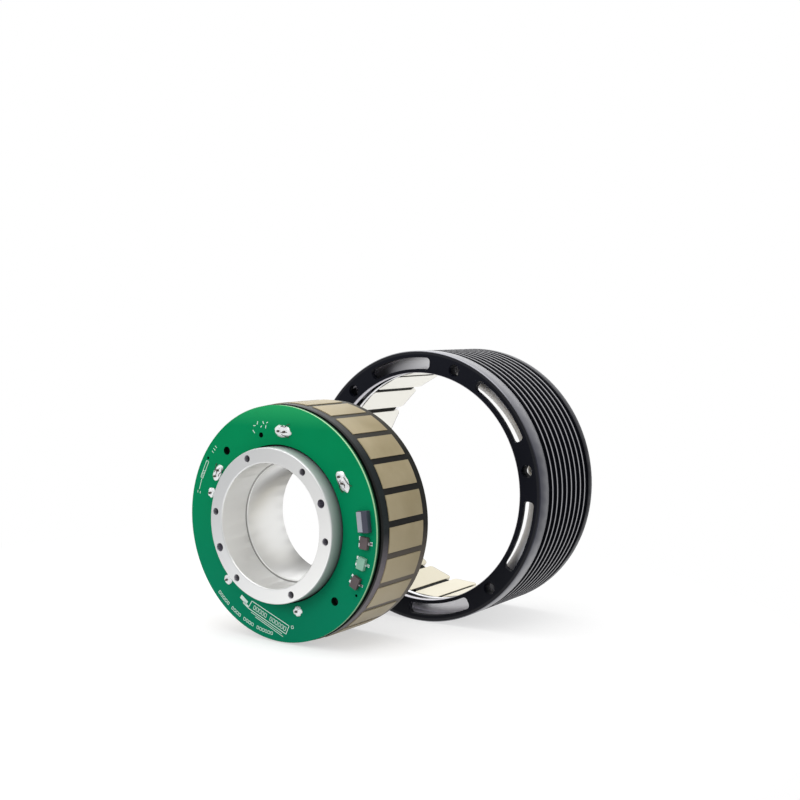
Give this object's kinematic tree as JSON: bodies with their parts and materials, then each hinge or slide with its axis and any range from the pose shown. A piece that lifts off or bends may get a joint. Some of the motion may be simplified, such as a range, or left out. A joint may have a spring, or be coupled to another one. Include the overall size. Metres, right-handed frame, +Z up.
{
  "type": "frameless motor",
  "caption": "Frameless outer-rotor motor shown as its two rings: a potted stator with sensor board on a bored hub, and a finned black rotor ring lined with flat magnets.",
  "frame": {"origin": "on the stator axis in the plane of the front face of the sensor board, inside the bearing seat", "axes": "+Y along both ring axes from front to back, +Z up, +X to the right seen from the front; the rotor ring stands behind and to the right of the stator on the same floor"},
  "size_m": [0.1167, 0.1033, 0.1028],
  "materials": {
    "hub_metal": "fine turned, bare",
    "coated_steel": "tan varnish on ground steel laminations",
    "insulator": "glass-filled nylon",
    "liner": "insulating paper",
    "copper_wire": "enamelled copper wire",
    "solder": "bright solder",
    "cast_resin": "cast epoxy, satin",
    "circuit_board": "green solder mask",
    "sensor_case": "moulded epoxy",
    "connector_plastic": "moulded nylon",
    "black_anodised": "black anodised, satin",
    "plated_iron": "nickel plated",
    "coated_magnet": "pale coating"
  },
  "bodies": {
    "stator": {"stator_hub": "hub_metal", "lamination_stack": "coated_steel", "front_end_insulator": "insulator", "rear_end_insulator": "insulator", "slot_liners": "liner", "winding_phase_u": "copper_wire", "winding_phase_v": "copper_wire", "winding_phase_w": "copper_wire", "winding_leads": "copper_wire", "solder_joints": "solder", "cast_compound": "cast_resin", "sensor_board": "circuit_board", "hall_sensor_1": "sensor_case", "hall_sensor_2": "sensor_case", "hall_sensor_3": "sensor_case", "board_connector": "connector_plastic"},
    "rotor": {"rotor_housing": "black_anodised", "back_iron_ring": "plated_iron", "magnet_01": "coated_magnet", "magnet_02": "coated_magnet", "magnet_03": "coated_magnet", "magnet_04": "coated_magnet", "magnet_05": "coated_magnet", "magnet_06": "coated_magnet", "magnet_07": "coated_magnet", "magnet_08": "coated_magnet", "magnet_09": "coated_magnet", "magnet_10": "coated_magnet", "magnet_11": "coated_magnet", "magnet_12": "coated_magnet", "magnet_13": "coated_magnet", "magnet_14": "coated_magnet", "magnet_15": "coated_magnet", "magnet_16": "coated_magnet", "magnet_17": "coated_magnet", "magnet_18": "coated_magnet", "magnet_19": "coated_magnet", "magnet_20": "coated_magnet", "magnet_21": "coated_magnet", "magnet_22": "coated_magnet"}
  },
  "joints": [
    {"name": "rotor_spin", "type": "hinge", "parent": "stator", "child": "rotor", "pos_m": [0.0228, 0.0763, 0.0089], "axis": [0, 1, 0], "continuous": true}
  ]
}
